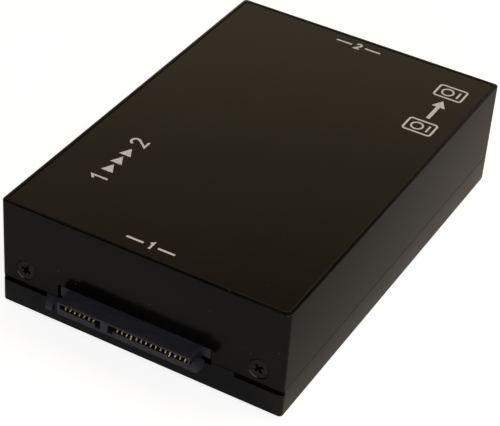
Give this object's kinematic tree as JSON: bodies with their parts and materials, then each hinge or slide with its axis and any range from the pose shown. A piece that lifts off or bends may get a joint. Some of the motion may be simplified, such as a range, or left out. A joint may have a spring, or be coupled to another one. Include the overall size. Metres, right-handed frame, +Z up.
{
  "type": "hard drive duplicator",
  "caption": "Small boxed hard drive duplicator with a drive receptacle at each end, and a start button, slide switch and power inlet on one side.",
  "frame": {"origin": "middle of the footprint, on the surface that the feet stand on", "axes": "+Y from the source receptacle's end to the target receptacle's end, +Z up, +X to the right as seen from the source end"},
  "size_m": [0.075, 0.1236, 0.03],
  "materials": {
    "cover_plastic": "satin black moulding",
    "tray_plastic": "satin black moulding",
    "panel_acrylic": "polished black sheet",
    "receptacle_plastic": "moulded dark grey",
    "contact_gold": "gold plate",
    "black_screw": "black oxide",
    "foot_rubber": "matt",
    "board_laminate": "green solder mask",
    "black_plastic": "moulded",
    "nickel_plate": "nickel plate",
    "button_plastic": "fine matt moulding",
    "chip_plastic": "moulded epoxy",
    "can_aluminium": "drawn can",
    "ferrite": "moulded ferrite",
    "green_lens": "tinted lens",
    "blue_lens": "tinted lens",
    "red_lens": "tinted lens"
  },
  "bodies": {
    "case": {"upper_cover": "cover_plastic", "bottom_tray": "tray_plastic", "top_panel": "panel_acrylic", "circuit_board": "board_laminate", "control_board": "board_laminate", "board_header": "black_plastic", "source_receptacle": "receptacle_plastic", "target_receptacle": "receptacle_plastic", "foot_source_left": "foot_rubber", "foot_source_right": "foot_rubber", "foot_target_left": "foot_rubber", "foot_target_right": "foot_rubber", "case_screw_source_left": "black_screw", "case_screw_source_right": "black_screw", "case_screw_target_left": "black_screw", "case_screw_target_right": "black_screw", "board_screw_1": "nickel_plate", "board_screw_2": "nickel_plate", "board_screw_3": "nickel_plate", "board_screw_4": "nickel_plate", "start_switch": "black_plastic", "power_switch": "nickel_plate", "error_light": "red_lens", "copy_light": "blue_lens", "power_light": "green_lens", "power_inlet": "black_plastic", "inlet_pin": "nickel_plate", "controller_chip": "chip_plastic", "memory_chip": "chip_plastic", "firmware_chip": "chip_plastic", "regulator_chip": "chip_plastic", "crystal": "nickel_plate", "power_inductor": "ferrite", "input_capacitor": "can_aluminium", "output_capacitor": "can_aluminium", "signal_contact_1": "contact_gold", "signal_contact_2": "contact_gold", "signal_contact_3": "contact_gold", "signal_contact_4": "contact_gold", "signal_contact_5": "contact_gold", "signal_contact_6": "contact_gold", "signal_contact_7": "contact_gold", "power_contact_1": "contact_gold", "power_contact_2": "contact_gold", "power_contact_3": "contact_gold", "power_contact_4": "contact_gold", "power_contact_5": "contact_gold", "power_contact_6": "contact_gold", "power_contact_7": "contact_gold", "power_contact_8": "contact_gold", "power_contact_9": "contact_gold", "power_contact_10": "contact_gold", "power_contact_11": "contact_gold", "power_contact_12": "contact_gold", "power_contact_13": "contact_gold", "power_contact_14": "contact_gold", "power_contact_15": "contact_gold"},
    "start_button": {"start_button": "button_plastic", "start_plunger": "black_plastic"},
    "power_knob": {"power_knob": "button_plastic"}
  },
  "joints": [
    {"name": "start_press", "type": "slide", "parent": "case", "child": "start_button", "axis": [1, 0, 0], "range_m": [0, 0.0005], "stiffness_N_per_m": 2500, "springref_m": -0.0002},
    {"name": "power_slide", "type": "slide", "parent": "case", "child": "power_knob", "axis": [0, 1, 0], "range_m": [0, 0.0025]}
  ]
}
